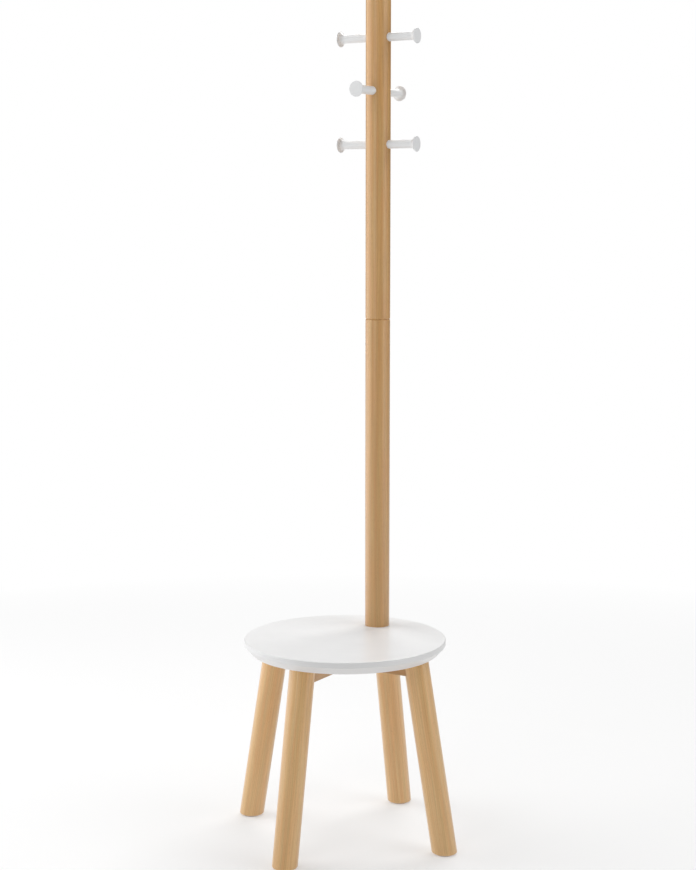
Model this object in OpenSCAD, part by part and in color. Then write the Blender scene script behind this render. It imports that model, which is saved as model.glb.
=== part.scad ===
// Standing coat rack on a stool base: a round seat on four splayed legs, a round pole in two
// sections that rises from the back of the seat, and six pegs in three opposed pairs.
// Millimetres. The origin is on the floor under the middle of the seat; +Z is up, -Y is the
// front, and the pole stands on the +Y side.

/* [Seat] */
// Diameter of the seat board
seat_d = 404; // [380:1:440]
// Height of the seat's top face above the floor
seat_top_z = 407; // [380:1:450]
// Thickness of the seat board
seat_t = 26; // [24:0.5:32]
// Height of the upright band round the rim, above the underside bevel
seat_band = 11; // [5:0.5:14]
// How far the underside bevel runs in from the rim
seat_bevel = 14; // [8:0.5:20]
// Radius of the rounded top edge
seat_edge_r = 2; // [1:0.25:4]

/* [Legs] */
// Diameter of each round leg
leg_d = 50; // [44:1:54]
// Outward tilt of each leg from upright, in degrees
leg_splay = 10; // [6:0.5:12]
// Distance of each leg's axis from the middle, at floor level
leg_reach = 228.5; // [222:0.5:236]
// Width of the chamfer round each foot
foot_chamfer = 2.5; // [1:0.25:4]
// Diameter of the felt pad under each foot
pad_d = 38; // [30:1:42]
// Thickness of the felt pad
pad_t = 2; // [1.5:0.25:4]

/* [Cross rails] */
// Width of each rail under the seat
rail_w = 40; // [36:1:42]
// Depth of each rail
rail_h = 29; // [26:1:34]
// Side clearance in the half-lap where the rails cross
lap_gap = 0.1; // [0.05:0.05:0.3]
// Clearance between a rail's coped end and its leg
cope_gap = 0.1; // [0.05:0.05:0.3]

/* [Pole] */
// Diameter of the pole
pole_d = 50; // [44:1:54]
// Length of each of the two pole sections
section_len = 637; // [560:1:700]
// Distance of the pole's axis behind the middle of the seat
pole_offset = 130; // [125:1:132]
// Depth of the recess in the seat that takes the pole's foot
recess_depth = 4; // [3:0.5:6]
// Radial clearance round the pole's foot in its recess
recess_gap = 0.15; // [0.1:0.05:0.3]
// Width of the chamfer on each end of a pole section
pole_chamfer = 1.5; // [0.5:0.25:2]

/* [Pegs] */
// Height of the lowest pair of pegs above the seat
peg_low = 982; // [900:1:1010]
// Height between one pair of pegs and the next
peg_pitch = 105; // [80:1:110]
// How far each peg stands out from the pole
peg_out = 63.5; // [50:0.5:80]
// Diameter of a peg's shank
peg_d = 17; // [14:0.5:19]
// Diameter of a peg's head
peg_head_d = 31; // [27:0.5:36]
// Thickness of the head's rim
peg_rim = 2.6; // [2:0.1:4]
// Radius of the hollow flare between shank and head
peg_flare_r = 9; // [7.5:0.5:11]
// Depth of the socket in the pole that takes a peg's root
socket_depth = 8; // [6:0.5:9]

/* [Fasteners] */
// Distance of the four outer seat bolts from the middle
seat_bolt_reach = 80; // [60:1:95]
// Depth of the counterbore that sinks each seat bolt's head
counterbore_depth = 8; // [7.75:0.25:9]
// Diameter of the dowels between rails and legs
dowel_d = 8; // [6:0.5:9]
// Length of those dowels
dowel_len = 40; // [30:1:42]
// Distance from one dowel of a pair to the other
dowel_pitch = 24; // [22:1:26]

/* [Hidden] */

$fn = 96;

// Turn about +Z that brings the +X direction to each side of the object
RIGHT = 0;
BACK = 90;
LEFT = 180;
FRONT = 270;
SIDES = [RIGHT, BACK, LEFT, FRONT];

// Seat and rails
seat_r = seat_d / 2;
seat_under_z = seat_top_z - seat_t;
rail_bottom_z = seat_under_z - rail_h;
lap_z = seat_under_z - rail_h / 2;

// Legs
leg_r = leg_d / 2;
leg_shift = tan(leg_splay);
leg_cut_r = leg_r / cos(leg_splay);
function leg_axis_at(z) = leg_reach - z * leg_shift;

// Pole
pole_r = pole_d / 2;
pole_foot_z = seat_top_z - recess_depth;
seam_z = pole_foot_z + section_len;

// Pegs: height, and the side that the peg points to
peg_r = peg_d / 2;
peg_head_r = peg_head_d / 2;
peg_root = pole_r - socket_depth;
peg_tip = pole_r + peg_out;
LOW = seat_top_z + peg_low;
MIDDLE = LOW + peg_pitch;
HIGH = MIDDLE + peg_pitch;
PEG_PLACES = [
    [HIGH, LEFT], [HIGH, RIGHT], [MIDDLE, FRONT], [MIDDLE, BACK], [LOW, LEFT], [LOW, RIGHT]
];

// Clearance round a plain shank that stands for a thread, and round a plug in its hole
thread_gap = 0.08;
plug_gap = 0.05;
through_gap = 0.4;
cut = 1;

// M6 seat bolts: shank, cap head, washer and threaded insert
m6_r = 3;
m6_head_r = 5;
m6_head_h = 5.8;
m6_hex_af = 5;
m6_washer_r = 6;
m6_washer_t = 1.5;
m6_len = 32;
m6_insert_r = 4.5;
m6_insert_len = 13;
counterbore_r = 6.5;
seat_bolt_seat_z = rail_bottom_z + counterbore_depth;

// M8 bolt that holds the pole's foot: button head, washer and threaded insert
m8_r = 4;
m8_head_r = 7;
m8_head_h = 4.4;
m8_hex_af = 5;
m8_washer_r = 10;
m8_washer_t = 1.6;
m8_insert_r = 6;
m8_insert_len = 25;
m8_tip_z = pole_foot_z + m8_insert_len - 3;

// Two pins that stop the pole's foot from turning
base_pin_r = 3;
base_pin_pitch = 28;
base_pin_down = 8;
base_pin_up = 12;

// M10 double-ended bolt between the pole sections
m10_r = 5;
m10_half_len = 30;
m10_insert_r = 7;
m10_insert_len = 25;

// M6 studs that hold the pegs
stud_in_peg = 16;
stud_in_pole = 11;
peg_insert_len = 12;
hole_extra = 1;

WOOD = "BurlyWood";
WHITE = "WhiteSmoke";
STEEL = "Silver";
BRASS = "Goldenrod";
FELT = "DimGray";

// ---- helpers ----

// Turns its children from the +X side to the given side
module toward(side) {
    rotate([0, 0, side]) children();
}

// Repeats its children at the five places where a bolt goes up into the seat
module at_seat_bolts() {
    children();
    for (side = SIDES)
        toward(side) translate([seat_bolt_reach, 0, 0]) children();
}

// Repeats its children at the two dowels of every leg
module at_leg_dowels() {
    for (side = SIDES, across = [-1, 1])
        toward(side) translate([0, across * dowel_pitch / 2, 0]) children();
}

// Moves its children to the pole's axis
module at_pole() {
    translate([0, pole_offset, 0]) children();
}

// Repeats its children at the two pins in the pole's foot
module at_base_pins() {
    at_pole() for (across = [-1, 1])
        translate([across * base_pin_pitch / 2, 0, 0]) children();
}

// Lays its children, drawn up along +Z, out of the pole at a peg's height and side
module at_peg(place) {
    at_pole() translate([0, 0, place[0]]) toward(place[1]) rotate([0, 90, 0]) children();
}

// A rod along +Z from one height to another
module rod(r, from_z, to_z) {
    translate([0, 0, from_z]) cylinder(r = r, h = to_z - from_z);
}

// A ring along +Z from one height to another
module ring(r, hole_r, from_z, to_z) {
    difference() {
        rod(r, from_z, to_z);
        rod(hole_r, from_z - cut, to_z + cut);
    }
}

// A hexagon socket, measured across its flats
module hex_socket(across_flats, from_z, to_z) {
    translate([0, 0, from_z])
        cylinder(r = across_flats / 2 / cos(30), h = to_z - from_z, $fn = 6);
}

// A tilted round bar on the +X side, along the leg's axis
module leg_bar(r) {
    translate([leg_reach, 0, 0]) rotate([0, -leg_splay, 0])
        translate([0, 0, -leg_d]) cylinder(r = r, h = seat_top_z + 2 * leg_d);
}

// The hole or peg of one rail dowel on the +X side, longer by extra at each end
module dowel_bar(r, extra) {
    joint_x = leg_axis_at(lap_z) - leg_cut_r * sqrt(1 - pow(dowel_pitch / leg_d, 2));
    translate([joint_x - dowel_len / 2 - extra, 0, lap_z])
        rotate([0, 90, 0]) cylinder(r = r, h = dowel_len + 2 * extra);
}

// ---- seat ----

module seat_outline() {
    difference() {
        polygon([
            [0, seat_under_z],
            [seat_r - seat_bevel, seat_under_z],
            [seat_r, seat_top_z - seat_band],
            [seat_r, seat_top_z],
            [0, seat_top_z]
        ]);
        translate([seat_r - seat_edge_r, seat_top_z - seat_edge_r]) difference() {
            square(seat_edge_r + cut);
            circle(r = seat_edge_r);
        }
    }
}

module seat() {
    color(WHITE) difference() {
        rotate_extrude() seat_outline();
        at_pole() {
            rod(pole_r + recess_gap, pole_foot_z, seat_top_z + cut);
            rod(m8_r + through_gap, seat_under_z - cut, seat_top_z);
        }
        at_base_pins() rod(base_pin_r + plug_gap, pole_foot_z - base_pin_down - hole_extra, seat_top_z);
        at_seat_bolts()
            rod(m6_insert_r + plug_gap, seat_under_z - cut, seat_under_z + m6_insert_len + hole_extra);
    }
}

// ---- cross rails ----

// A bar along X under the seat, coped to the legs at both ends and bored for bolts and dowels
module rail_blank() {
    half_len = leg_axis_at(seat_under_z);
    difference() {
        translate([-half_len, -rail_w / 2, rail_bottom_z]) cube([2 * half_len, rail_w, rail_h]);
        for (side = [RIGHT, LEFT]) toward(side) {
            leg_bar(leg_r + cope_gap);
            for (across = [-1, 1])
                translate([0, across * dowel_pitch / 2, 0]) dowel_bar(dowel_d / 2 + plug_gap, hole_extra);
        }
        at_seat_bolts() {
            rod(m6_r + through_gap, rail_bottom_z - cut, seat_under_z + cut);
            rod(counterbore_r, rail_bottom_z - cut, seat_bolt_seat_z);
        }
    }
}

// The half of the crossing that is cut out of a rail, from one height to another
module lap_cut(from_z, to_z) {
    width = rail_w + 2 * lap_gap;
    translate([-width / 2, -width / 2, from_z]) cube([width, width, to_z - from_z]);
}

module rail_left_right() {
    color(WOOD) difference() {
        rail_blank();
        lap_cut(rail_bottom_z - cut, lap_z);
    }
}

module rail_front_back() {
    color(WOOD) difference() {
        toward(BACK) rail_blank();
        lap_cut(lap_z, seat_under_z + cut);
        at_pole() rod(m8_r + through_gap, rail_bottom_z - cut, seat_under_z + cut);
    }
}

// ---- legs ----

module leg(side) {
    trim_r = leg_r - foot_chamfer;
    color(WOOD) toward(side) difference() {
        intersection() {
            leg_bar(leg_r);
            translate([leg_axis_at(pad_t), 0, pad_t])
                cylinder(r1 = trim_r, r2 = trim_r + seat_under_z - pad_t, h = seat_under_z - pad_t);
        }
        for (across = [-1, 1])
            translate([0, across * dowel_pitch / 2, 0]) dowel_bar(dowel_d / 2 + plug_gap, hole_extra);
    }
}

module foot_pad(side) {
    color(FELT) toward(side) translate([leg_axis_at(pad_t), 0, 0]) cylinder(d = pad_d, h = pad_t);
}

module leg_dowels() {
    color(WOOD) at_leg_dowels() dowel_bar(dowel_d / 2, 0);
}

// ---- pole ----

// One pole section standing on the given height, chamfered at both ends
module pole_blank(from_z) {
    at_pole() translate([0, 0, from_z]) rotate_extrude() polygon([
        [0, 0],
        [pole_r - pole_chamfer, 0],
        [pole_r, pole_chamfer],
        [pole_r, section_len - pole_chamfer],
        [pole_r - pole_chamfer, section_len],
        [0, section_len]
    ]);
}

module pole_lower() {
    color(WOOD) difference() {
        pole_blank(pole_foot_z);
        at_pole() {
            rod(m8_insert_r + plug_gap, pole_foot_z - cut, pole_foot_z + m8_insert_len + hole_extra);
            rod(m10_r + plug_gap, seam_z - m10_half_len - hole_extra, seam_z + cut);
        }
        at_base_pins() rod(base_pin_r + plug_gap, pole_foot_z - cut, pole_foot_z + base_pin_up + hole_extra);
    }
}

module pole_upper() {
    color(WOOD) difference() {
        pole_blank(seam_z);
        at_pole() {
            rod(m10_insert_r + plug_gap, seam_z - cut, seam_z + m10_insert_len);
            rod(m10_r + through_gap, seam_z, seam_z + m10_half_len + hole_extra);
        }
        for (place = PEG_PLACES) at_peg(place) {
            rod(peg_r + plug_gap, peg_root, pole_r + cut);
            rod(m6_insert_r + plug_gap, peg_root - peg_insert_len, pole_r);
        }
    }
}

// ---- pegs ----

// Half of a peg's outline, with the distance from the pole's axis going up
module peg_outline() {
    rim_foot = peg_tip - peg_rim;
    difference() {
        translate([0, peg_root]) square([peg_head_r, peg_tip - peg_root]);
        translate([peg_r, peg_root - cut])
            square([peg_head_r, rim_foot - peg_flare_r - peg_root + cut]);
        translate([peg_r + peg_flare_r, rim_foot - peg_flare_r]) circle(r = peg_flare_r);
        translate([peg_head_r - peg_rim / 2, peg_tip - peg_rim / 2]) difference() {
            translate([0, -peg_rim]) square([peg_rim, 2 * peg_rim]);
            circle(r = peg_rim / 2);
        }
    }
}

module peg(place) {
    color(WHITE) at_peg(place) difference() {
        rotate_extrude() peg_outline();
        rod(m6_r + plug_gap, peg_root - cut, peg_root + stud_in_peg + hole_extra);
    }
}

module peg_studs() {
    color(STEEL) for (place = PEG_PLACES)
        at_peg(place) rod(m6_r, peg_root - stud_in_pole, peg_root + stud_in_peg);
}

module peg_inserts() {
    color(BRASS) for (place = PEG_PLACES)
        at_peg(place) ring(m6_insert_r, m6_r + thread_gap, peg_root - peg_insert_len, peg_root);
}

// ---- fasteners of the seat ----

module seat_bolts() {
    head_top_z = seat_bolt_seat_z - m6_washer_t;
    head_bottom_z = head_top_z - m6_head_h;
    color(STEEL) at_seat_bolts() difference() {
        union() {
            rod(m6_head_r, head_bottom_z, head_top_z);
            rod(m6_r, head_top_z, head_top_z + m6_len);
        }
        hex_socket(m6_hex_af, head_bottom_z - cut, head_bottom_z + m6_head_h / 2);
    }
}

module seat_bolt_washers() {
    color(STEEL) at_seat_bolts()
        ring(m6_washer_r, m6_r + plug_gap, seat_bolt_seat_z - m6_washer_t, seat_bolt_seat_z);
}

module seat_inserts() {
    color(BRASS) at_seat_bolts()
        ring(m6_insert_r, m6_r + thread_gap, seat_under_z, seat_under_z + m6_insert_len);
}

// ---- fasteners of the pole ----

module pole_base_bolt() {
    head_top_z = rail_bottom_z - m8_washer_t;
    head_bottom_z = head_top_z - m8_head_h;
    color(STEEL) at_pole() difference() {
        union() {
            rod(m8_head_r, head_bottom_z, head_top_z);
            rod(m8_r, head_top_z, m8_tip_z);
        }
        hex_socket(m8_hex_af, head_bottom_z - cut, head_bottom_z + m8_head_h / 2);
    }
}

module pole_base_washer() {
    color(STEEL) at_pole()
        ring(m8_washer_r, m8_r + plug_gap, rail_bottom_z - m8_washer_t, rail_bottom_z);
}

module pole_base_insert() {
    color(BRASS) at_pole()
        ring(m8_insert_r, m8_r + thread_gap, pole_foot_z, pole_foot_z + m8_insert_len);
}

module pole_base_pins() {
    color(STEEL) at_base_pins() rod(base_pin_r, pole_foot_z - base_pin_down, pole_foot_z + base_pin_up);
}

module pole_joint_bolt() {
    color(STEEL) at_pole() rod(m10_r, seam_z - m10_half_len, seam_z + m10_half_len);
}

module pole_joint_insert() {
    color(BRASS) at_pole()
        ring(m10_insert_r, m10_r + thread_gap, seam_z, seam_z + m10_insert_len);
}

seat();
rail_front_back();
rail_left_right();
leg(FRONT);  // leg_front
leg(BACK);  // leg_back
leg(LEFT);  // leg_left
leg(RIGHT);  // leg_right
foot_pad(FRONT);  // foot_pad_front
foot_pad(BACK);  // foot_pad_back
foot_pad(LEFT);  // foot_pad_left
foot_pad(RIGHT);  // foot_pad_right
pole_lower();
pole_upper();
peg([HIGH, LEFT]);  // peg_upper_left
peg([HIGH, RIGHT]);  // peg_upper_right
peg([MIDDLE, FRONT]);  // peg_middle_front
peg([MIDDLE, BACK]);  // peg_middle_back
peg([LOW, LEFT]);  // peg_lower_left
peg([LOW, RIGHT]);  // peg_lower_right
seat_bolts();
seat_bolt_washers();
seat_inserts();
leg_dowels();
pole_base_bolt();
pole_base_washer();
pole_base_insert();
pole_base_pins();
pole_joint_bolt();
pole_joint_insert();
peg_studs();
peg_inserts();
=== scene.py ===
import math

import bmesh
import bpy
from mathutils import Matrix, Vector


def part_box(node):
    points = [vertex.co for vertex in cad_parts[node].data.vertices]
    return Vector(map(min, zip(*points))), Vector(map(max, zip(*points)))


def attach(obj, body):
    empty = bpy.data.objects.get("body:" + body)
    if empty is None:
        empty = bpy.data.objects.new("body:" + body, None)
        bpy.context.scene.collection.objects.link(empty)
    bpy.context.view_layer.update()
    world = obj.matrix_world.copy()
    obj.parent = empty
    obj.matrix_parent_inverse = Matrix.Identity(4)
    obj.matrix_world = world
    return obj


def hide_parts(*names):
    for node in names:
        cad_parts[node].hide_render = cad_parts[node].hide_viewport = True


# The looks of a standing coat rack: each CAD node gets a finely modelled piece in its place,
# and each material is a procedural one. Metres, in the CAD model's own frame: +Z up, -Y front.

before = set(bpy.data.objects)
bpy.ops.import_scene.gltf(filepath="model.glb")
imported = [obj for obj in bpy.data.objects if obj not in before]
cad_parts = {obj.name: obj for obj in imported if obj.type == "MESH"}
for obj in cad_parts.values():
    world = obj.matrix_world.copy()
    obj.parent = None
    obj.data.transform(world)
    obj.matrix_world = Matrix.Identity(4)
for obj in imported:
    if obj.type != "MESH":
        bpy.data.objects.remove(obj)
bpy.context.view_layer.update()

MM = 0.001
BODY = "root"

# Directions in which legs and pegs point, as turns about +Z from the +X side
TURN = {
    "right": 0.0,
    "back": math.pi / 2,
    "left": math.pi,
    "front": -math.pi / 2,
}


def middle(node):
    """The middle of a CAD node's box."""
    low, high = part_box(node)
    return (low + high) / 2


def heading(turn):
    """The level direction at a turn about +Z from the +X side."""
    return Vector((math.cos(turn), math.sin(turn), 0))


SEAT_LOW, SEAT_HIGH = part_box("seat")
SEAT_RADIUS = (SEAT_HIGH.y - SEAT_LOW.y) / 2
SEAT_UNDER = SEAT_LOW.z
SEAT_TOP = SEAT_HIGH.z
POLE_LOW, SEAM = (corner.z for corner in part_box("pole_lower"))
POLE_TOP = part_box("pole_upper")[1].z
POLE_AXIS = middle("pole_lower")
POLE_RADIUS = (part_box("pole_lower")[1].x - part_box("pole_lower")[0].x) / 2
RAIL_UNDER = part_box("rail_left_right")[0].z
RAIL_HALF_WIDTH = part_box("rail_left_right")[1].y
LEG_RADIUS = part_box("leg_front")[1].x
LEG_SPLAY = math.radians(10)
PAD_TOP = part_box("foot_pad_front")[1].z
PAD_REACH = middle("foot_pad_right").x

PEGS = [
    "peg_upper_left", "peg_upper_right", "peg_middle_front", "peg_middle_back",
    "peg_lower_left", "peg_lower_right",
]
PEG_RADIUS = 8.5 * MM
SOCKET_GAP = 0.08 * MM
PEG_HEAD_RADIUS = (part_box(PEGS[0])[1].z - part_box(PEGS[0])[0].z) / 2
PEG_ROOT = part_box("peg_upper_right")[0].x
PEG_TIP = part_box("peg_upper_right")[1].x

# Fasteners, by the size of their thread
HEX_KEY = 5 * MM
THREAD_GAP = 0.08 * MM
WASHER_GAP = 0.05 * MM
M6_RADIUS = 3 * MM
M6_PITCH = 1 * MM
M6_HEAD_RADIUS = 5 * MM
M6_DOME = 0.6 * MM
M6_WASHER_RADIUS = 6 * MM
M6_INSERT_RADIUS = 4.5 * MM
M6_HOLE_RADIUS = 3.4 * MM
M8_RADIUS = 4 * MM
M8_PITCH = 1.25 * MM
M8_HEAD_RADIUS = 7 * MM
M8_DOME = 2.4 * MM
M8_WASHER_RADIUS = 10 * MM
M8_INSERT_RADIUS = 6 * MM
M8_HOLE_RADIUS = 4.4 * MM
M10_RADIUS = 5 * MM
M10_PITCH = 1.5 * MM
M10_INSERT_RADIUS = 7 * MM
INSERT_PITCH = 2.4 * MM
STUD_IN_POLE = 11 * MM
STUD_IN_PEG = 16 * MM
PEG_INSERT_LENGTH = 12 * MM
DOWEL_RADIUS = 4 * MM
DOWEL_LENGTH = 40 * MM
DOWEL_OFFSET = 12 * MM

# The seat's bolts: one in the middle and one out on each half of a rail
BOLT_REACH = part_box("seat_inserts")[1].x - M6_INSERT_RADIUS
BOLT_PLACES = [Vector((0, 0, 0))] + [BOLT_REACH * heading(turn) for turn in TURN.values()]
BOLT_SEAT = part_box("seat_bolt_washers")[1].z
COUNTERBORE_RADIUS = 6.5 * MM

# The height at which the two rails halve each other, and the play there and round the legs
LAP = (RAIL_UNDER + SEAT_UNDER) / 2
RAIL_GAP = 0.1 * MM

# How far a cutter stands out past the face it cuts
CUT_OVER = 5 * MM

# Two lengths that differ by less than this are the same
TINY = 1e-7

# In a piece that was cut, an edge is shaded as sharp where its faces turn by more than this
SHARP_EDGE = math.radians(32)


# ---------------------------------------------------------------- mesh helpers

def mesh_object(name, verts, faces):
    """A smooth-shaded mesh object."""
    mesh = bpy.data.meshes.new(name)
    mesh.from_pydata(verts, [], faces)
    mesh.validate()
    mesh.shade_smooth()
    made = bpy.data.objects.new(name, mesh)
    bpy.context.scene.collection.objects.link(made)
    return made


def rounded(corners, steps=6, support=0.3 * MM):
    """The points of an outline of (radius, height, rounding) corners, with each rounding as an
    arc. A support point on either side keeps the flats next to an arc flat in the shading."""
    points = []
    for i, (radius, height, rounding) in enumerate(corners):
        here = Vector((radius, height))
        if rounding == 0:
            points.append(here)
            continue
        before = (Vector(corners[i - 1][:2]) - here).normalized()
        after = (Vector(corners[(i + 1) % len(corners)][:2]) - here).normalized()
        half_angle = before.angle(after) / 2
        reach = rounding / math.tan(half_angle)
        centre = here + (before + after).normalized() * rounding / math.sin(half_angle)
        start = here + before * reach
        end = here + after * reach
        first_turn = math.atan2(start.y - centre.y, start.x - centre.x)
        last_turn = math.atan2(end.y - centre.y, end.x - centre.x)
        swing = (last_turn - first_turn + math.pi) % (2 * math.pi) - math.pi
        points.append(start + before * support)
        for step in range(steps + 1):
            turn = first_turn + swing * step / steps
            points.append(centre + rounding * Vector((math.cos(turn), math.sin(turn))))
        points.append(end + after * support)
    return points


def spaced(points, longest):
    """The same outline with no stretch longer than the given length."""
    out = [points[0]]
    for a, b in zip(points, points[1:]):
        parts = max(1, math.ceil((b - a).length / longest))
        out += [a.lerp(b, part / parts) for part in range(1, parts + 1)]
    return out


def upright(at):
    """Places an outline's point round a vertical axis through a point."""
    return lambda radius, height, angle: Vector((
        at.x + radius * math.cos(angle), at.y + radius * math.sin(angle), height))


def outward(at, turn):
    """Places an outline's point round a level axis that leaves a point in the given turn."""
    sideways = Matrix.Rotation(math.pi / 2, 4, "Y")
    matrix = Matrix.Translation(at) @ Matrix.Rotation(turn, 4, "Z") @ sideways
    return lambda radius, height, angle: matrix @ Vector((
        radius * math.cos(angle), radius * math.sin(angle), height))


def turned(name, points, place, segments=96, closed=False):
    """A body of revolution. Where an end of the outline lies on the axis it is closed by a fan;
    a closed outline makes a ring."""
    verts, rings, faces = [], [], []
    for point in points:
        on_axis = point.x < TINY and not closed
        count = 1 if on_axis else segments
        rings.append(list(range(len(verts), len(verts) + count)))
        for k in range(count):
            verts.append(place(point.x, point.y, 2 * math.pi * k / segments))
    pairs = list(zip(rings, rings[1:]))
    if closed:
        pairs.append((rings[-1], rings[0]))
    for low, high in pairs:
        for k in range(segments):
            n = (k + 1) % segments
            if len(low) == 1:
                faces.append((low[0], high[n], high[k]))
            elif len(high) == 1:
                faces.append((low[k], low[n], high[0]))
            else:
                faces.append((low[k], low[n], high[n], high[k]))
    made = mesh_object(name, verts, faces)
    outward_normals(made)
    return made


def outward_normals(piece):
    """Turns every face of a closed mesh to point out."""
    shape = bmesh.new()
    shape.from_mesh(piece.data)
    bmesh.ops.recalc_face_normals(shape, faces=shape.faces)
    shape.to_mesh(piece.data)
    shape.free()


def cut_away(piece, *cutters):
    """Takes the cutters' shapes out of a piece and marks its steep edges as sharp."""
    for cutter in cutters:
        change = piece.modifiers.new("cut", "BOOLEAN")
        change.operation = "DIFFERENCE"
        change.solver = "EXACT"
        change.object = cutter
        apply_modifiers(piece)
        bpy.data.objects.remove(cutter)
    piece.data.set_sharp_from_angle(angle=SHARP_EDGE)


def apply_modifiers(piece):
    """Replaces a piece's mesh by what its modifiers make of it."""
    graph = bpy.context.evaluated_depsgraph_get()
    result = bpy.data.meshes.new_from_object(piece.evaluated_get(graph))
    piece.modifiers.clear()
    old = piece.data
    piece.data = result
    bpy.data.meshes.remove(old)
    result.name = piece.name


def joined(name, pieces):
    """One object made of several, each of which is removed."""
    shape = bmesh.new()
    for piece in pieces:
        shape.from_mesh(piece.data)
        bpy.data.objects.remove(piece)
    mesh = bpy.data.meshes.new(name)
    shape.to_mesh(mesh)
    shape.free()
    made = bpy.data.objects.new(name, mesh)
    bpy.context.scene.collection.objects.link(made)
    return made


def give_grain(piece, origin, along, pith):
    """Stores where each point lies in the timber that a piece was cut from, in millimetres, with
    the grain along +Z, and which faces are sawn across the grain. pith is how far the middle of
    the tree lies from the piece's own axis."""
    along = along.normalized()
    level = abs(along.z) < 0.5
    across = along.cross(Vector((0, 0, 1)) if level else Vector((0, 1, 0))).normalized()
    third = along.cross(across)
    layer = piece.data.attributes.new("grain", "FLOAT_VECTOR", "POINT")
    for vert, entry in zip(piece.data.vertices, layer.data):
        local = (vert.co - origin) / MM
        local = Vector((local.dot(across), local.dot(third), local.dot(along)))
        entry.vector = local + Vector(pith)
    sawn = piece.data.attributes.new("end_grain", "FLOAT", "FACE")
    for face, entry in zip(piece.data.polygons, sawn.data):
        entry.value = float(abs(face.normal.dot(along)) > 0.9)


def finish_piece(piece, node, material):
    """Puts a finished piece in the place of its CAD node."""
    piece.data.materials.clear()
    piece.data.materials.append(material)
    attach(piece, BODY)
    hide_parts(node)
    return piece


# ---------------------------------------------------------------- materials

class Shader:
    """A material with a short way to add nodes."""

    def __init__(self, name):
        self.material = bpy.data.materials.new(name)
        self.material.use_nodes = True
        self.tree = self.material.node_tree
        self.surface = self.tree.nodes["Principled BSDF"]

    def add(self, kind, inputs=None, **settings):
        """A node. Each input is a number, a colour, or another node's output."""
        made = self.tree.nodes.new("ShaderNode" + kind)
        for key, value in settings.items():
            setattr(made, key, value)
        for key, value in (inputs or {}).items():
            self.feed(made.inputs[key], value)
        return made

    def feed(self, socket, value):
        """Links a node's output to a socket, or sets the socket to a constant."""
        if isinstance(value, bpy.types.NodeSocket):
            self.tree.links.new(value, socket)
        else:
            socket.default_value = value

    def math(self, operation, a, b=0.0, c=0.0):
        """A calculation with numbers."""
        return self.add("Math", {0: a, 1: b, 2: c}, operation=operation).outputs[0]

    def vector(self, operation, a, b):
        """A calculation with vectors."""
        return self.add("VectorMath", {0: a, 1: b}, operation=operation).outputs[0]

    def noise(self, coordinates, scale, detail=3.0, roughness=0.55, distortion=0.0):
        """Noise stretched by a scale along each axis; its value runs from about 0.25 to 0.75."""
        stretched = self.vector("MULTIPLY", coordinates, scale)
        return self.add("TexNoise", {
            "Vector": stretched, "Scale": 1.0, "Detail": detail,
            "Roughness": roughness, "Distortion": distortion,
        })

    def spread(self, value, from_low, from_high, to_low=0.0, to_high=1.0):
        """Maps one range of values onto another, clamped."""
        return self.add("MapRange", {
            "Value": value, "From Min": from_low, "From Max": from_high,
            "To Min": to_low, "To Max": to_high,
        }).outputs["Result"]

    def ramp(self, value, stops):
        """A colour ramp through (position, colour) stops."""
        made = self.add("ValToRGB", {"Fac": value})
        while len(made.color_ramp.elements) < len(stops):
            made.color_ramp.elements.new(0.5)
        for element, (position, colour) in zip(made.color_ramp.elements, stops):
            element.position = position
            element.color = (*colour, 1.0)
        return made.outputs["Color"]

    def mix(self, share, a, b, blend="MIX"):
        """A blend of two colours."""
        made = self.add("Mix", data_type="RGBA", blend_type=blend)
        self.feed(made.inputs["Factor"], share)
        self.feed(made.inputs[6], a)
        self.feed(made.inputs[7], b)
        return made.outputs[2]

    def bump(self, height, distance, strength):
        """The normal of a surface with a fine relief."""
        made = self.add("Bump", {"Height": height, "Distance": distance, "Strength": strength})
        return made.outputs["Normal"]

    def set(self, **values):
        """Sets the surface's sockets, with _ for a space in their names."""
        for key, value in values.items():
            self.feed(self.surface.inputs[key.replace("_", " ")], value)


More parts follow.
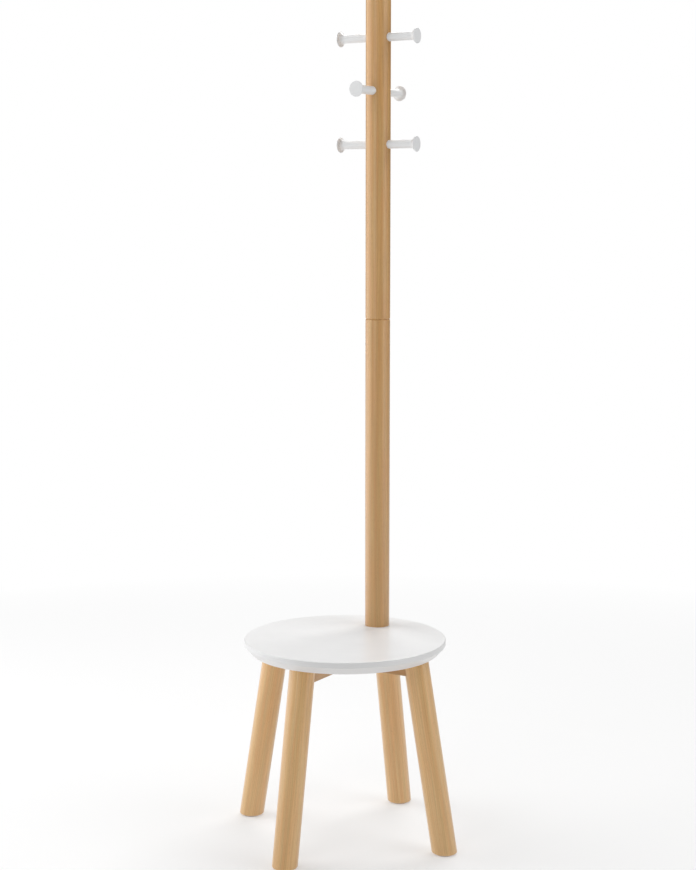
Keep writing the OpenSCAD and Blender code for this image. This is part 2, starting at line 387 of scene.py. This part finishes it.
def wood_material(name, light, dark):
    """Clear-lacquered beech: faint growth rings, lengthwise fibres, warmer streaks and short
    dark flecks. Lengths are in millimetres. Noise is stretched along the grain."""
    ring_width = 3.1
    sway_width = 26.0
    white = (1.0, 1.0, 1.0, 1.0)
    halfway = tuple((a + b) / 2 for a, b in zip(light, dark))
    wood = Shader(name)
    grain = wood.add("Attribute", attribute_name="grain").outputs["Vector"]

    sway = wood.noise(grain, (0.012, 0.012, 0.0016), detail=2.0).outputs["Color"]
    sway = wood.vector("SUBTRACT", sway, (0.5, 0.5, 0.5))
    sway = wood.vector("MULTIPLY", sway, (sway_width, sway_width, 0.0))
    parts = wood.add("SeparateXYZ", {0: wood.vector("ADD", grain, sway)}).outputs
    from_pith = wood.math("SQRT", wood.math(
        "ADD", wood.math("POWER", parts[0], 2.0), wood.math("POWER", parts[1], 2.0)))
    ring = wood.math("FRACT", wood.math("DIVIDE", from_pith, ring_width))
    ring = wood.add("FloatCurve", {"Value": ring})
    curve = ring.mapping.curves[0]
    curve.points[0].location = (0.0, 0.25)
    curve.points[1].location = (1.0, 0.25)
    curve.points.new(0.18, 0.0)
    curve.points.new(0.7, 0.45)
    curve.points.new(0.9, 1.0)
    ring.mapping.update()
    ring = ring.outputs["Value"]

    fibre = wood.noise(grain, (1.1, 1.1, 0.012), detail=5.0, roughness=0.62).outputs["Fac"]
    band = wood.noise(grain, (0.12, 0.12, 0.0022), detail=3.0).outputs["Fac"]
    fleck = wood.noise(grain, (1.9, 1.9, 0.17), detail=2.0).outputs["Fac"]
    fleck = wood.spread(fleck, 0.6, 0.7)

    shade = wood.math("MULTIPLY", wood.spread(fibre, 0.3, 0.7), 0.4)
    shade = wood.math("MULTIPLY_ADD", wood.spread(band, 0.3, 0.7), 0.4, shade)
    shade = wood.math("MULTIPLY_ADD", ring, 0.2, shade)
    colour = wood.ramp(shade, [(0.0, light), (0.5, halfway), (1.0, dark)])
    blush = wood.noise(grain, (0.16, 0.16, 0.007), detail=2.0).outputs["Fac"]
    tint = wood.mix(wood.spread(blush, 0.35, 0.65), white, (1.05, 0.94, 0.88, 1.0))
    colour = wood.mix(1.0, colour, tint, blend="MULTIPLY")
    darkest = (*(c * 0.6 for c in dark), 1.0)
    colour = wood.mix(wood.math("MULTIPLY", fleck, 0.4), colour, darkest)

    # A sawn end drinks the lacquer: it is darker and duller than the sides
    end = wood.add("Attribute", attribute_name="end_grain").outputs["Fac"]
    soaked = wood.mix(end, white, (0.7, 0.62, 0.55, 1.0))
    colour = wood.mix(1.0, colour, soaked, blend="MULTIPLY")
    roughness = wood.spread(fibre, 0.25, 0.75, 0.36, 0.5)

    relief = wood.math("MULTIPLY_ADD", fleck, -0.8, wood.math("MULTIPLY", fibre, 1.2))
    wood.set(
        Base_Color=colour,
        Roughness=wood.math("MULTIPLY_ADD", end, 0.3, roughness),
        Normal=wood.bump(relief, 0.05 * MM, 0.5),
        IOR=1.5,
        Coat_Weight=wood.spread(end, 0.0, 1.0, 0.9, 0.1),
        Coat_Roughness=0.3,
    )
    return wood.material


def lacquer_material(name, colour, peel):
    """Satin white paint with a faint orange-peel surface; peel is the width of its dimples."""
    paint = Shader(name)
    place = paint.add("TexCoord").outputs["Object"]
    dimples = paint.noise(place, (1 / peel,) * 3, detail=2.0).outputs["Fac"]
    clouds = paint.noise(place, (14.0,) * 3, detail=4.0).outputs["Fac"]
    rubbed = paint.noise(place, (60.0,) * 3, detail=6.0, roughness=0.7, distortion=0.6)
    rubbed = rubbed.outputs["Fac"]
    clean = (*colour, 1.0)
    dull = (*(c * 0.965 for c in colour), 1.0)
    gloss = paint.spread(clouds, 0.3, 0.7, 0.285, 0.32)
    gloss = paint.math("ADD", gloss, paint.spread(rubbed, 0.5, 0.75, 0.0, 0.04))
    paint.set(
        Base_Color=paint.mix(paint.spread(clouds, 0.3, 0.7), clean, dull),
        Roughness=gloss,
        Normal=paint.bump(dimples, 0.02 * MM, 0.35),
        IOR=1.48,
    )
    return paint.material


def felt_material(name, colour):
    """Pressed felt: matt, with matted fibres."""
    felt = Shader(name)
    place = felt.add("TexCoord").outputs["Object"]
    fibres = felt.noise(place, (2200.0, 2200.0, 5200.0), detail=6.0, roughness=0.75, distortion=1.5)
    fibres = fibres.outputs["Fac"]
    tufts = felt.noise(place, (420.0,) * 3, detail=3.0).outputs["Fac"]
    tone = felt.math("MULTIPLY_ADD", fibres, 0.7, felt.math("MULTIPLY", tufts, 0.3))
    felt.set(
        Base_Color=felt.ramp(tone, [(0.3, tuple(c * 0.6 for c in colour)), (0.7, colour)]),
        Roughness=0.95,
        Sheen_Weight=0.35,
        Sheen_Roughness=0.4,
        Normal=felt.bump(tone, 0.25 * MM, 0.8),
    )
    return felt.material


def metal_material(name, colour, rough):
    """Turned and plated metal: fine tool marks, and a mottled polish."""
    metal = Shader(name)
    place = metal.add("TexCoord").outputs["Object"]
    marks = metal.noise(place, (900.0, 900.0, 2600.0), detail=4.0, roughness=0.6).outputs["Fac"]
    mottle = metal.noise(place, (190.0,) * 3, detail=4.0).outputs["Fac"]
    bright = (*colour, 1.0)
    dull = (*(c * 0.82 for c in colour), 1.0)
    metal.set(
        Base_Color=metal.mix(metal.spread(mottle, 0.35, 0.7), bright, dull),
        Metallic=1.0,
        Roughness=metal.spread(mottle, 0.3, 0.7, rough - 0.07, rough + 0.1),
        Normal=metal.bump(marks, 0.03 * MM, 0.4),
    )
    return metal.material


POLE_WOOD = wood_material("pole_beech", (0.65, 0.41, 0.16), (0.44, 0.22, 0.066))
# The legs' beech is lighter than the pole's: painted light, standing in for the light that the pale
# floor throws up onto the legs
LEG_WOOD_WITH_PAINTED_LIGHT = wood_material("leg_beech_painted_light", (0.82, 0.56, 0.255), (0.565, 0.318, 0.113))
# The rails' beech is darker than the pole's: painted shade, for their place in the shade under the
# seat
RAIL_WOOD_WITH_PAINTED_SHADE = wood_material("rail_beech_painted_shade", (0.58, 0.35, 0.13), (0.39, 0.195, 0.06))
DOWEL_WOOD = wood_material("dowel_beech", (0.74, 0.53, 0.32), (0.55, 0.34, 0.17))
SEAT_PAINT = lacquer_material("seat_lacquer", (0.80, 0.80, 0.80), 1.6 * MM)
PEG_PAINT = lacquer_material("peg_lacquer", (0.79, 0.795, 0.80), 0.9 * MM)
# Dark grey-brown felt: partly the felt's own tone, partly painted contact shadow where each foot
# meets the floor
FELT_WITH_PAINTED_SHADOW = felt_material("pressed_felt_painted_shadow", (0.26, 0.23, 0.2))
ZINC = metal_material("zinc_plate", (0.62, 0.62, 0.63), 0.3)
BRASS = metal_material("turned_brass", (0.78, 0.58, 0.27), 0.28)


# ---------------------------------------------------------------- seat

def make_seat():
    """The round seat board with its rounded rim, the bevel underneath and the pole's recess."""
    band = 11 * MM
    bevel = 14 * MM
    recess_gap = 0.15 * MM
    outline = rounded([
        (0.0, SEAT_UNDER, 0.0),
        (SEAT_RADIUS - bevel, SEAT_UNDER, 1.5 * MM),
        (SEAT_RADIUS, SEAT_TOP - band, 1.5 * MM),
        (SEAT_RADIUS, SEAT_TOP, 2.0 * MM),
        (0.0, SEAT_TOP, 0.0),
    ], steps=8)
    outline = spaced(outline, 30 * MM)
    seat = turned("seat_finished", outline, upright(Vector((0, 0, 0))), segments=288)
    recess_radius = POLE_RADIUS + recess_gap
    recess = rounded([
        (0.0, POLE_LOW, 0.0),
        (recess_radius, POLE_LOW, 0.0),
        (recess_radius, SEAT_TOP + CUT_OVER, 0.0),
        (0.0, SEAT_TOP + CUT_OVER, 0.0),
    ])
    cut_away(seat, turned("recess", recess, upright(POLE_AXIS), segments=144))
    return finish_piece(seat, "seat", SEAT_PAINT)


# ---------------------------------------------------------------- legs and feet

def leg_place(radius, height, angle):
    """A point of a leg on the right side: a level slice through the tilted bar at a height."""
    axis_x = PAD_REACH - (height - PAD_TOP) * math.tan(LEG_SPLAY)
    x = axis_x + radius * math.cos(angle) / math.cos(LEG_SPLAY)
    return Vector((x, radius * math.sin(angle), height))


def make_leg(side, pith):
    """A round leg, cut level at both ends, with its foot chamfered."""
    node = "leg_" + side
    chamfer = 2.5 * MM
    outline = rounded([
        (0.0, PAD_TOP, 0.0),
        (LEG_RADIUS - chamfer, PAD_TOP, 0.8 * MM),
        (LEG_RADIUS, PAD_TOP + chamfer, 1.2 * MM),
        (LEG_RADIUS, SEAT_UNDER, 0.5 * MM),
        (0.0, SEAT_UNDER, 0.0),
    ])
    leg = turned(node + "_finished", spaced(outline, 20 * MM), leg_place, segments=128)
    about_z = Matrix.Rotation(TURN[side], 4, "Z")
    leg.data.transform(about_z)
    foot = about_z @ Vector((PAD_REACH, 0, PAD_TOP))
    along = about_z @ Vector((-math.sin(LEG_SPLAY), 0, math.cos(LEG_SPLAY)))
    give_grain(leg, foot, along, pith)
    # The legs' lighter beech is painted light from the floor
    return finish_piece(leg, node, LEG_WOOD_WITH_PAINTED_LIGHT)


def make_pad(side):
    """A felt disc under a foot, with softened edges. Its dark tone is partly the felt's own and
    partly painted contact shadow along the bottom of the foot.
    """
    node = "foot_pad_" + side
    low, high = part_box(node)
    radius = (high.x - low.x) / 2
    outline = rounded([
        (0.0, low.z, 0.0),
        (radius, low.z, 0.5 * MM),
        (radius, high.z, 0.4 * MM),
        (0.0, high.z, 0.0),
    ], support=0.1 * MM)
    pad = turned(node + "_finished", spaced(outline, 4 * MM), upright(middle(node)), segments=96)
    return finish_piece(pad, node, FELT_WITH_PAINTED_SHADOW)


# ---------------------------------------------------------------- rails

def bar(name, outline, reach):
    """A straight bar along X whose section, drawn in Y and Z, is the closed outline."""
    count = len(outline)
    verts = [Vector((x, point.x, point.y)) for x in (-reach, reach) for point in outline]
    faces = [(k, (k + 1) % count, count + (k + 1) % count, count + k) for k in range(count)]
    faces += [tuple(range(count)), tuple(range(count, 2 * count))]
    made = mesh_object(name, verts, faces)
    outward_normals(made)
    return made


def bore(at, radius, low, high, lip=0.0):
    """A cutter for an upright hole that opens downwards, with a chamfered lip."""
    mouth = radius + lip + CUT_OVER if lip else radius
    outline = [
        Vector((0.0, low - CUT_OVER)),
        Vector((mouth, low - CUT_OVER)),
        Vector((radius, low + lip)),
        Vector((radius, high)),
        Vector((0.0, high)),
    ]
    return turned("bore", outline, upright(at), segments=72)


def leg_cutter(side):
    """The shape that a leg takes out of a rail's end."""
    over = 20 * MM
    radius = LEG_RADIUS + RAIL_GAP
    outline = [
        Vector((0.0, RAIL_UNDER - over)),
        Vector((radius, RAIL_UNDER - over)),
        Vector((radius, SEAT_UNDER + over)),
        Vector((0.0, SEAT_UNDER + over)),
    ]
    cutter = turned("leg_cutter", outline, leg_place, segments=160)
    cutter.data.transform(Matrix.Rotation(TURN[side], 4, "Z"))
    return cutter


def make_rail(node, turn, lap_low, lap_high, pith, extra_bores=()):
    """A rail with eased edges, coped ends, counterbores and its half of the crossing."""
    ease = 1.2 * MM
    outline = rounded([
        (RAIL_HALF_WIDTH, RAIL_UNDER, ease),
        (RAIL_HALF_WIDTH, SEAT_UNDER, 0.4 * MM),
        (-RAIL_HALF_WIDTH, SEAT_UNDER, 0.4 * MM),
        (-RAIL_HALF_WIDTH, RAIL_UNDER, ease),
    ])
    rail = bar(node + "_finished", outline, reach=max(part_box(node)[1][:2]))
    lap_half = RAIL_HALF_WIDTH + RAIL_GAP
    lap = bar("lap", [
        Vector((-lap_half, lap_low)), Vector((lap_half, lap_low)),
        Vector((lap_half, lap_high)), Vector((-lap_half, lap_high)),
    ], lap_half)
    cutters = [leg_cutter("right"), leg_cutter("left"), lap]
    for reach in (-BOLT_REACH, 0.0, BOLT_REACH):
        at = Vector((reach, 0, 0))
        cutters.append(bore(at, COUNTERBORE_RADIUS, RAIL_UNDER, BOLT_SEAT, lip=0.5 * MM))
        cutters.append(bore(at, M6_HOLE_RADIUS, BOLT_SEAT - 1 * MM, SEAT_UNDER + CUT_OVER))
    cut_away(rail, *cutters, *extra_bores)
    rail.data.transform(Matrix.Rotation(turn, 4, "Z"))
    give_grain(rail, Vector((0, 0, RAIL_UNDER)), heading(turn), pith)
    # The rails' darker beech is painted shade from the seat above them
    return finish_piece(rail, node, RAIL_WOOD_WITH_PAINTED_SHADE)


# ---------------------------------------------------------------- pole and pegs

def peg_place(node):
    """Places a peg's outline, with heights counted from the pole's axis."""
    at = Vector((POLE_AXIS.x, POLE_AXIS.y, middle(node).z))
    return outward(at, TURN[node.split("_")[-1]])


def peg_cutter(node):
    """The socket that a peg's root takes out of the pole."""
    radius = PEG_RADIUS + SOCKET_GAP
    outline = [
        Vector((0.0, PEG_ROOT)),
        Vector((radius, PEG_ROOT)),
        Vector((radius, POLE_RADIUS + CUT_OVER)),
        Vector((0.0, POLE_RADIUS + CUT_OVER)),
    ]
    return turned("socket", outline, peg_place(node), segments=72)


def make_pole(node, low, high, pith, pegs=()):
    """One section of the pole, with chamfered ends."""
    chamfer = 1.5 * MM
    soft = 0.25 * MM
    outline = rounded([
        (0.0, low, 0.0),
        (POLE_RADIUS - chamfer, low, soft),
        (POLE_RADIUS, low + chamfer, soft),
        (POLE_RADIUS, high - chamfer, soft),
        (POLE_RADIUS - chamfer, high, soft),
        (0.0, high, 0.0),
    ], steps=3, support=0.15 * MM)
    pole = turned(node + "_finished", spaced(outline, 24 * MM), upright(POLE_AXIS), segments=192)
    if pegs:
        cut_away(pole, *[peg_cutter(peg) for peg in pegs])
    give_grain(pole, Vector((POLE_AXIS.x, POLE_AXIS.y, low)), Vector((0, 0, 1)), pith)
    return finish_piece(pole, node, POLE_WOOD)


def make_peg(node):
    """A turned peg: a round shank that flares into a thin-rimmed disc."""
    flare = 9 * MM
    rim = 1.3 * MM
    flare_steps = 16
    rim_steps = 14
    rim_foot = PEG_TIP - 2 * rim
    bend = Vector((PEG_RADIUS + flare, rim_foot - flare))
    flare_end = math.acos((PEG_HEAD_RADIUS - rim - bend.x) / flare)
    outline = rounded([
        (0.0, PEG_ROOT, 0.0),
        (PEG_RADIUS, PEG_ROOT, 0.6 * MM),
        (PEG_RADIUS, bend.y - 1 * MM, 0.0),
    ])
    for step in range(flare_steps + 1):
        angle = math.pi + (flare_end - math.pi) * step / flare_steps
        outline.append(bend + flare * Vector((math.cos(angle), math.sin(angle))))
    rim_middle = Vector((PEG_HEAD_RADIUS - rim, PEG_TIP - rim))
    for step in range(1, rim_steps + 1):
        angle = math.radians(-90 + 180 * step / rim_steps)
        outline.append(rim_middle + rim * Vector((math.cos(angle), math.sin(angle))))
    outline.append(Vector((PEG_HEAD_RADIUS - rim - 0.3 * MM, PEG_TIP)))
    outline.append(Vector((0.0, PEG_TIP)))
    peg = turned(node + "_finished", spaced(outline, 5 * MM), peg_place(node), segments=112)
    return finish_piece(peg, node, PEG_PAINT)


# ---------------------------------------------------------------- fasteners

def threaded(place, crest, pitch, low, high):
    """The same placing, with a screw thread cut into the stretch that lies at the crest."""
    depth = 0.58 * pitch

    def placed(radius, height, angle):
        if abs(radius - crest) < TINY and low <= height <= high:
            phase = (height / pitch - angle / (2 * math.pi)) % 1.0
            fade = min(1.0, (height - low) / pitch, (high - height) / pitch)
            radius -= depth * fade * abs(2 * phase - 1)
        return place(radius, height, angle)

    return placed


def hexagon(at, low, high):
    """A cutter for a hexagon socket with a cone at its bottom."""
    radius = HEX_KEY / 2 / math.cos(math.pi / 6)
    outline = [
        Vector((0.0, low - CUT_OVER)), Vector((radius, low - CUT_OVER)),
        Vector((radius, high)), Vector((0.0, high + radius / 2)),
    ]
    return turned("hexagon", outline, upright(at), segments=6)


def make_bolt(name, at, head, head_low, head_high, dome, shank, tip, pitch):
    """A socket screw that points up: a head of the given radius below, with its lower edge
    rounded by the dome, then the shank with its thread."""
    point = 0.6 * MM
    corners = [
        (0.0, head_low, 0.0),
        (head - dome, head_low, dome * 0.45),
        (head, head_low + dome, dome * 0.45),
        (head, head_high, 0.2 * MM),
        (shank, head_high, 0.3 * MM),
        (shank, tip - point, 0.0),
        (shank - point, tip, 0.0),
        (0.0, tip, 0.0),
    ]
    outline = spaced(rounded(corners, support=0.05 * MM), pitch / 6)
    place = threaded(upright(at), shank, pitch, head_high + 2 * pitch, tip - point)
    bolt = turned(name, outline, place, segments=40)
    cut_away(bolt, hexagon(at, head_low, (head_low + head_high) / 2))
    return bolt


def repeated(name, piece, places):
    """Copies of a piece at several places, as one object."""
    copies = []
    for place in places:
        copy = bpy.data.objects.new(name, piece.data.copy())
        copy.data.transform(Matrix.Translation(place))
        copies.append(copy)
    bpy.data.objects.remove(piece)
    return joined(name, copies)


def make_seat_bolts():
    """The five cap screws, sunk in the rails' counterbores."""
    low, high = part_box("seat_bolts")
    head_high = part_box("seat_bolt_washers")[0].z
    bolt = make_bolt(
        "bolt", Vector((0, 0, 0)), M6_HEAD_RADIUS, low.z, head_high, M6_DOME,
        M6_RADIUS, high.z, M6_PITCH)
    bolts = repeated("seat_bolts_finished", bolt, BOLT_PLACES)
    finish_piece(bolts, "seat_bolts", ZINC)


def ring_outline(bore_radius, radius, low, high, ease):
    """The closed outline of a ring with eased outer edges."""
    return rounded([
        (bore_radius, low, ease / 2), (radius, low, ease),
        (radius, high, ease), (bore_radius, high, ease / 2),
    ], steps=4, support=0.05 * MM)


def make_seat_washers():
    """The washers under the heads of the seat bolts."""
    low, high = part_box("seat_bolt_washers")
    outline = ring_outline(M6_RADIUS + WASHER_GAP, M6_WASHER_RADIUS, low.z, high.z, 0.3 * MM)
    washer = turned("washer", outline, upright(Vector((0, 0, 0))), segments=64, closed=True)
    washers = repeated("seat_bolt_washers_finished", washer, BOLT_PLACES)
    finish_piece(washers, "seat_bolt_washers", ZINC)


def insert(place, screw_radius, radius, low, high):
    """A threaded insert: a ring with a coarse thread outside that bites into the wood."""
    bore_radius = screw_radius + THREAD_GAP
    ease = 0.4 * MM
    outline = [
        Vector((bore_radius, low)), Vector((radius - ease, low)), Vector((radius, low + ease)),
        Vector((radius, high - ease)), Vector((radius - ease, high)), Vector((bore_radius, high)),
    ]
    outline = spaced(outline, INSERT_PITCH / 8)
    placed = threaded(place, radius, INSERT_PITCH, low + ease, high - ease)
    return turned("insert", outline, placed, segments=48, closed=True)


def make_seat_inserts():
    """The inserts in the seat that take the bolts."""
    low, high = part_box("seat_inserts")
    one = insert(upright(Vector((0, 0, 0))), M6_RADIUS, M6_INSERT_RADIUS, low.z, high.z)
    inserts = repeated("seat_inserts_finished", one, BOLT_PLACES)
    finish_piece(inserts, "seat_inserts", BRASS)


def make_pole_base():
    """What holds the pole's foot: bolt, washer, insert and the two pins."""
    low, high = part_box("pole_base_bolt")
    washer_low, washer_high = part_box("pole_base_washer")
    place = upright(POLE_AXIS)
    bolt = make_bolt(
        "pole_base_bolt_finished", POLE_AXIS, M8_HEAD_RADIUS, low.z, washer_low.z, M8_DOME,
        M8_RADIUS, high.z, M8_PITCH)
    finish_piece(bolt, "pole_base_bolt", ZINC)

    outline = ring_outline(
        M8_RADIUS + WASHER_GAP, M8_WASHER_RADIUS, washer_low.z, washer_high.z, 0.4 * MM)
    washer = turned("pole_base_washer_finished", outline, place, segments=96, closed=True)
    finish_piece(washer, "pole_base_washer", ZINC)

    low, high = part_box("pole_base_insert")
    one = insert(place, M8_RADIUS, M8_INSERT_RADIUS, low.z, high.z)
    one.name = "pole_base_insert_finished"
    finish_piece(one, "pole_base_insert", BRASS)

    low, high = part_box("pole_base_pins")
    radius = (high.y - low.y) / 2
    outline = spaced(rounded([
        (0.0, low.z, 0.0),
        (radius, low.z, 0.8 * MM),
        (radius, high.z, 0.8 * MM),
        (0.0, high.z, 0.0),
    ]), 2 * MM)
    pins = []
    for x in (low.x + radius, high.x - radius):
        at = Vector((x, POLE_AXIS.y, 0))
        pins.append(turned("pin", outline, upright(at), segments=48))
    finish_piece(joined("pole_base_pins_finished", pins), "pole_base_pins", ZINC)


def threaded_rod(name, place, radius, low, high, pitch):
    """A stud threaded from end to end, with chamfered tips."""
    ease = 0.6 * pitch
    outline = spaced([
        Vector((0.0, low)), Vector((radius - ease, low)), Vector((radius, low + ease)),
        Vector((radius, high - ease)), Vector((radius - ease, high)), Vector((0.0, high)),
    ], pitch / 6)
    placed = threaded(place, radius, pitch, low + ease, high - ease)
    return turned(name, outline, placed, segments=36)


def make_pole_joint():
    """The double-ended bolt between the pole's sections, and its insert."""
    low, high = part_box("pole_joint_bolt")
    bolt = threaded_rod(
        "pole_joint_bolt_finished", upright(POLE_AXIS), M10_RADIUS, low.z, high.z, M10_PITCH)
    finish_piece(bolt, "pole_joint_bolt", ZINC)
    low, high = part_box("pole_joint_insert")
    one = insert(upright(POLE_AXIS), M10_RADIUS, M10_INSERT_RADIUS, low.z, high.z)
    one.name = "pole_joint_insert_finished"
    finish_piece(one, "pole_joint_insert", BRASS)


def make_peg_fixings():
    """The studs and inserts that hold the pegs in the pole."""
    studs, inserts = [], []
    for peg in PEGS:
        place = peg_place(peg)
        studs.append(threaded_rod(
            "stud", place, M6_RADIUS, PEG_ROOT - STUD_IN_POLE, PEG_ROOT + STUD_IN_PEG, M6_PITCH))
        inserts.append(insert(
            place, M6_RADIUS, M6_INSERT_RADIUS, PEG_ROOT - PEG_INSERT_LENGTH, PEG_ROOT))
    finish_piece(joined("peg_studs_finished", studs), "peg_studs", ZINC)
    finish_piece(joined("peg_inserts_finished", inserts), "peg_inserts", BRASS)


def make_dowels():
    """The fluted dowels between rails and legs, two to each joint."""
    radius = DOWEL_RADIUS
    plain_end = 2 * MM
    flutes = 16
    flute_depth = 0.3 * MM
    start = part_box("leg_dowels")[1].x - DOWEL_LENGTH
    end = start + DOWEL_LENGTH

    def fluted(place):
        def placed(distance, height, angle):
            inside = min(height - start, end - height) > plain_end
            if inside and abs(distance - radius) < TINY:
                distance -= flute_depth * (0.5 + 0.5 * math.cos(flutes * angle)) ** 4
            return place(distance, height, angle)
        return placed

    dowels = []
    level = middle("leg_dowels").z
    outline = spaced(rounded([
        (0.0, start, 0.0),
        (radius - 1 * MM, start, 0.2 * MM),
        (radius, start + 1.5 * MM, 0.3 * MM),
        (radius, end - 1.5 * MM, 0.3 * MM),
        (radius - 1 * MM, end, 0.2 * MM),
        (0.0, end, 0.0),
    ], steps=3, support=0.1 * MM), 3 * MM)
    for number, turn in enumerate(TURN.values()):
        for offset in (-DOWEL_OFFSET, DOWEL_OFFSET):
            at = Matrix.Rotation(turn, 4, "Z") @ Vector((0, offset, level))
            dowel = turned("dowel", outline, fluted(outward(at, turn)), segments=96)
            pith = (60 + 9 * number, offset / MM, 130 * number)
            give_grain(dowel, at, heading(turn), pith)
            dowels.append(dowel)
    finish_piece(joined("leg_dowels_finished", dowels), "leg_dowels", DOWEL_WOOD)


# ---------------------------------------------------------------- the object

make_seat()

# Each piece of timber has its own pith, so that no two show the same grain
for number, side in enumerate(TURN):
    make_leg(side, pith=(62 + 14 * number, 35 - 21 * number, 500 * number))
    make_pad(side)
make_rail("rail_left_right", TURN["right"], RAIL_UNDER - CUT_OVER, LAP, (55, 30, 2400))
pole_bolt_hole = bore(
    Vector((POLE_AXIS.y, 0, 0)), M8_HOLE_RADIUS, RAIL_UNDER, SEAT_UNDER + CUT_OVER)
make_rail(
    "rail_front_back", TURN["back"], LAP, SEAT_UNDER + CUT_OVER, (70, 18, 3100),
    extra_bores=[pole_bolt_hole])
make_pole("pole_lower", POLE_LOW, SEAM, (74, 26, 4000))
make_pole("pole_upper", SEAM, POLE_TOP, (66, -41, 5200), PEGS)
for peg in PEGS:
    make_peg(peg)
make_seat_bolts()
make_seat_washers()
make_seat_inserts()
make_dowels()
make_pole_base()
make_pole_joint()
make_peg_fixings()


# ---------------------------------------------------------------- stage, light and camera

def make_floor():
    """A wide pale floor with a faint glow. Well away from the object it fades into the white
    behind it, in a layer that only the camera sees and that casts no light."""
    half = 20.0
    fade_start = 0.9
    fade_end = 2.6
    corners = [(-half, -half), (half, -half), (half, half), (-half, half)]
    floor = mesh_object("floor", [(x, y, 0.0) for x, y in corners], [(0, 1, 2, 3)])
    pale = Shader("pale_floor")
    pale.set(Base_Color=(0.5, 0.5, 0.5, 1.0), Roughness=0.9, IOR=1.2,
             Emission_Color=(1.0, 1.0, 1.0, 1.0), Emission_Strength=0.42)
    floor.data.materials.append(pale.material)

    fade = mesh_object("white_fade", [(x, y, 0.2 * MM) for x, y in corners], [(0, 1, 2, 3)])
    white = Shader("white_fade")
    place = white.add("TexCoord").outputs["Object"]
    from_middle = white.add("VectorMath", {0: place}, operation="LENGTH").outputs["Value"]
    white.set(Base_Color=(0.0, 0.0, 0.0, 1.0), Roughness=1.0, Specular_IOR_Level=0.0,
              Alpha=white.spread(from_middle, fade_start, fade_end),
              Emission_Color=(1.0, 1.0, 1.0, 1.0), Emission_Strength=1.0)
    fade.data.materials.append(white.material)
    for kind in ("diffuse", "glossy", "transmission", "volume_scatter", "shadow"):
        setattr(fade, "visible_" + kind, False)


def make_world():
    """A white background, which leaves the lighting to the softboxes."""
    world = bpy.data.worlds.new("studio")
    bpy.context.scene.world = world
    world.use_nodes = True
    tree = world.node_tree
    tree.nodes.clear()
    seen = tree.nodes.new("ShaderNodeBackground")
    seen.inputs["Color"].default_value = (1.0, 1.0, 1.0, 1.0)
    ray = tree.nodes.new("ShaderNodeLightPath")
    tree.links.new(ray.outputs["Is Camera Ray"], seen.inputs["Strength"])
    out = tree.nodes.new("ShaderNodeOutputWorld")
    tree.links.new(seen.outputs[0], out.inputs["Surface"])


def make_softbox(name, turn, distance, height, size, aim, power):
    """A rectangular softbox at a turn (in degrees) about the object and a distance from it,
    turned to face a point at the aim's height. size is its width and its length."""
    light = bpy.data.lights.new(name, "AREA")
    light.shape = "RECTANGLE"
    light.size, light.size_y = size
    light.energy = power
    lamp = bpy.data.objects.new(name, light)
    centre = Vector((0.0, 0.1, 0.0))
    turn = math.radians(turn)
    at = centre + Vector((distance * math.cos(turn), distance * math.sin(turn), height))
    lamp.location = at
    lamp.rotation_euler = (centre + Vector((0, 0, aim)) - at).to_track_quat("-Z", "Y").to_euler()
    lamp.visible_camera = False
    bpy.context.scene.collection.objects.link(lamp)


def make_lights():
    """A row of tall softboxes on the left, two on the right, four overhead, and two fills."""
    tall = {-170: 11, -150: 10, -130: 8, 170: 7, 2: 10, 24: 5}
    for turn, power in tall.items():
        make_softbox(
            f"tall_{turn}", turn, distance=2.4, height=1.3, size=(0.9, 2.6), aim=1.3, power=power)
    make_softbox("back", 120, distance=3.4, height=0.9, size=(2.0, 1.4), aim=0.5, power=7)
    make_softbox("front", -90, distance=3.2, height=1.5, size=(1.2, 2.4), aim=0.9, power=14)
    make_softbox("top_back", 100, distance=2.0, height=3.2, size=(2.4, 1.2), aim=0.4, power=65)
    make_softbox("top_front", -80, distance=2.2, height=3.0, size=(2.4, 1.6), aim=0.4, power=18)
    make_softbox("top_left", -165, distance=1.8, height=3.0, size=(2.0, 2.0), aim=0.4, power=34)
    make_softbox("top_right", 10, distance=1.8, height=3.0, size=(2.0, 2.0), aim=0.4, power=25)


def make_camera():
    """A long lens at standing height, to the right of the front."""
    data = bpy.data.cameras.new("camera")
    data.lens = 74.17
    data.sensor_width = 36.0
    data.clip_end = 100.0
    camera = bpy.data.objects.new("camera", data)
    camera.location = (1.797, -3.027, 1.268)
    ahead = Vector((-0.5049, 0.8537, -0.1270))
    camera.rotation_euler = ahead.to_track_quat("-Z", "Y").to_euler()
    bpy.context.scene.collection.objects.link(camera)
    bpy.context.scene.camera = camera


make_floor()
make_world()
make_lights()
make_camera()
bpy.context.scene.view_settings.view_transform = "Standard"
